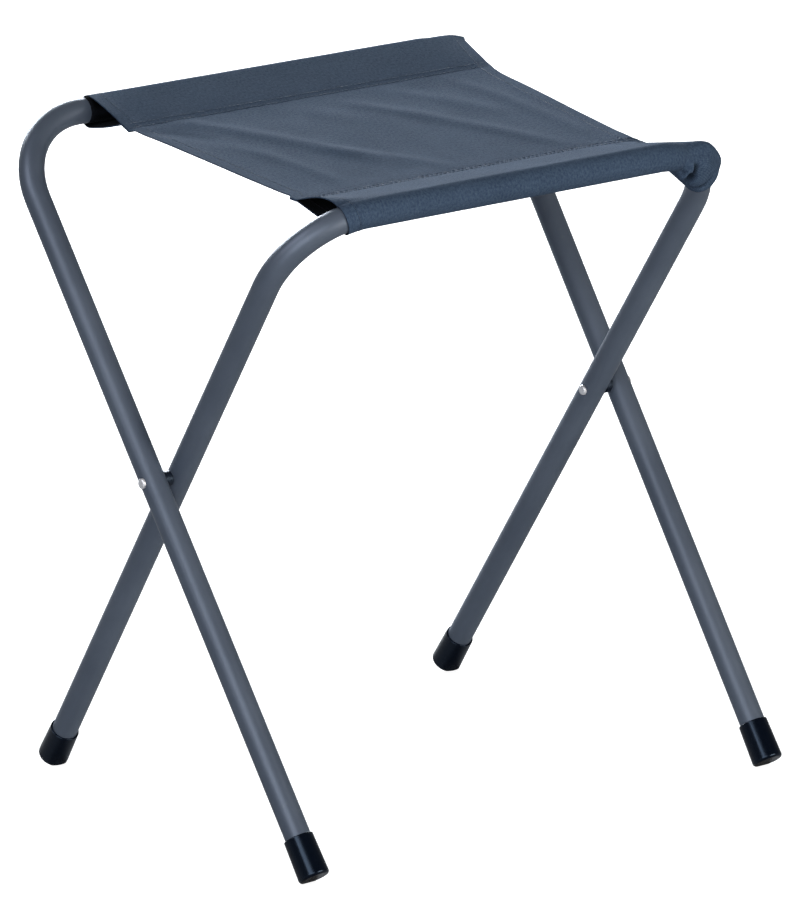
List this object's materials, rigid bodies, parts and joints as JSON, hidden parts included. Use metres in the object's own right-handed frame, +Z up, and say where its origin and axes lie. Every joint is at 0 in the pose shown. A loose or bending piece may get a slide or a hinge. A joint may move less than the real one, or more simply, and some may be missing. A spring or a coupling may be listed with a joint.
{
  "type": "camp stool",
  "caption": "Folding camp stool with two crossed U frames of round steel tube, riveted at the crossings, and a woven sling sewn round the two top bars.",
  "frame": {"origin": "on the ground, midway between the four feet, with the stool open", "axes": "+X to the right along the two seat bars, -Y to the front (the lower bar), +Z up"},
  "size_m": [0.3988, 0.3402, 0.4496],
  "materials": {
    "frame_paint": "slate grey powder coat, satin",
    "cap_rubber": "black, moulded, slightly glossy",
    "rivet_steel": "bright zinc plate",
    "spacer_plastic": "black, moulded",
    "sling_cloth": "slate blue woven polyester, matt"
  },
  "bodies": {
    "outer_frame": {"outer_frame_tube": "frame_paint", "foot_cap_outer_left": "cap_rubber", "foot_cap_outer_right": "cap_rubber", "pivot_rivet_left": "rivet_steel", "pivot_rivet_right": "rivet_steel", "pivot_spacer_left": "spacer_plastic", "pivot_spacer_right": "spacer_plastic"},
    "inner_frame": {"inner_frame_tube": "frame_paint", "foot_cap_inner_left": "cap_rubber", "foot_cap_inner_right": "cap_rubber"},
    "back_sling": {"sling_back": "sling_cloth"},
    "front_sling": {"sling_front": "sling_cloth"}
  },
  "joints": [
    {"name": "fold", "type": "hinge", "parent": "outer_frame", "child": "inner_frame", "pos_m": [0, -0.00466, 0.23068], "axis": [-1, 0, 0], "range_deg": [0, 66]},
    {"name": "back_sleeve_turn", "type": "hinge", "parent": "outer_frame", "child": "back_sling", "pos_m": [0, 0.14155, 0.4404], "axis": [1, 0, 0], "range_deg": [0, 100]},
    {"name": "front_sleeve_turn", "type": "hinge", "parent": "inner_frame", "child": "front_sling", "pos_m": [0, -0.14155, 0.4161], "axis": [-1, 0, 0], "range_deg": [0, 14]}
  ],
  "couplings": [
    {"joint": "back_sleeve_turn", "follows": "fold", "ratio": 1.5},
    {"joint": "front_sleeve_turn", "follows": "fold", "ratio": 0.2}
  ]
}
